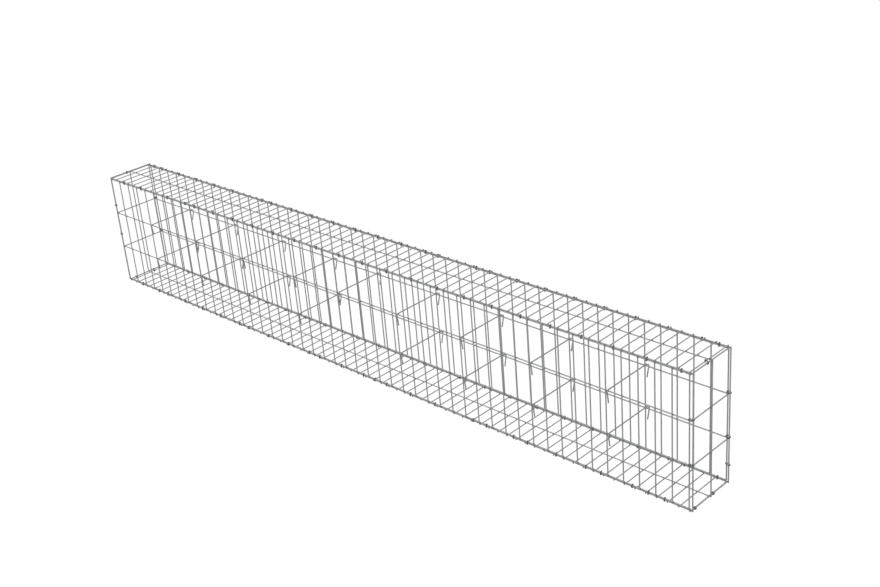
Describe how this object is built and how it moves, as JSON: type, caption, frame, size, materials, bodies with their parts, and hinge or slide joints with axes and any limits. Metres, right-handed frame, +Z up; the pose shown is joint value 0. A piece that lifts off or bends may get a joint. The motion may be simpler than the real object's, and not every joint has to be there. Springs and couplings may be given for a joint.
{
  "type": "gabion basket",
  "caption": "Long, narrow gabion basket of welded galvanised wire mesh, empty, with its lid and ends clipped on by wire rings and hooked spacer ties across it.",
  "frame": {"origin": "On the ground under the middle of the basket", "axes": "+X along the length to the right end, -Y the long front, +Z up"},
  "size_m": [3.0114, 0.2279, 0.5037],
  "materials": {
    "panel_wire": "galvanised, dull silver grey",
    "tie_wire": "galvanised, dull silver grey",
    "ring_wire": "galvanised, slightly brighter than the mesh"
  },
  "bodies": {
    "root": {"front_panel": "panel_wire", "back_panel": "panel_wire", "lid_panel": "panel_wire", "base_panel": "panel_wire", "left_end_panel": "panel_wire", "right_end_panel": "panel_wire", "spacer_tie_lower_1": "tie_wire", "spacer_tie_lower_2": "tie_wire", "spacer_tie_lower_3": "tie_wire", "spacer_tie_lower_4": "tie_wire", "spacer_tie_lower_5": "tie_wire", "spacer_tie_lower_6": "tie_wire", "spacer_tie_lower_7": "tie_wire", "spacer_tie_lower_8": "tie_wire", "spacer_tie_upper_1": "tie_wire", "spacer_tie_upper_2": "tie_wire", "spacer_tie_upper_3": "tie_wire", "spacer_tie_upper_4": "tie_wire", "spacer_tie_upper_5": "tie_wire", "spacer_tie_upper_6": "tie_wire", "spacer_tie_upper_7": "tie_wire", "spacer_tie_upper_8": "tie_wire", "spacer_tie_upper_9": "tie_wire", "rings_top_front": "ring_wire", "rings_top_back": "ring_wire", "rings_bottom_front": "ring_wire", "rings_bottom_back": "ring_wire", "rings_bottom_left_end": "ring_wire", "rings_bottom_right_end": "ring_wire", "rings_top_left_end": "ring_wire", "rings_top_right_end": "ring_wire", "rings_corner_front_left": "ring_wire", "rings_corner_front_right": "ring_wire", "rings_corner_back_left": "ring_wire", "rings_corner_back_right": "ring_wire"}
  },
  "joints": []
}
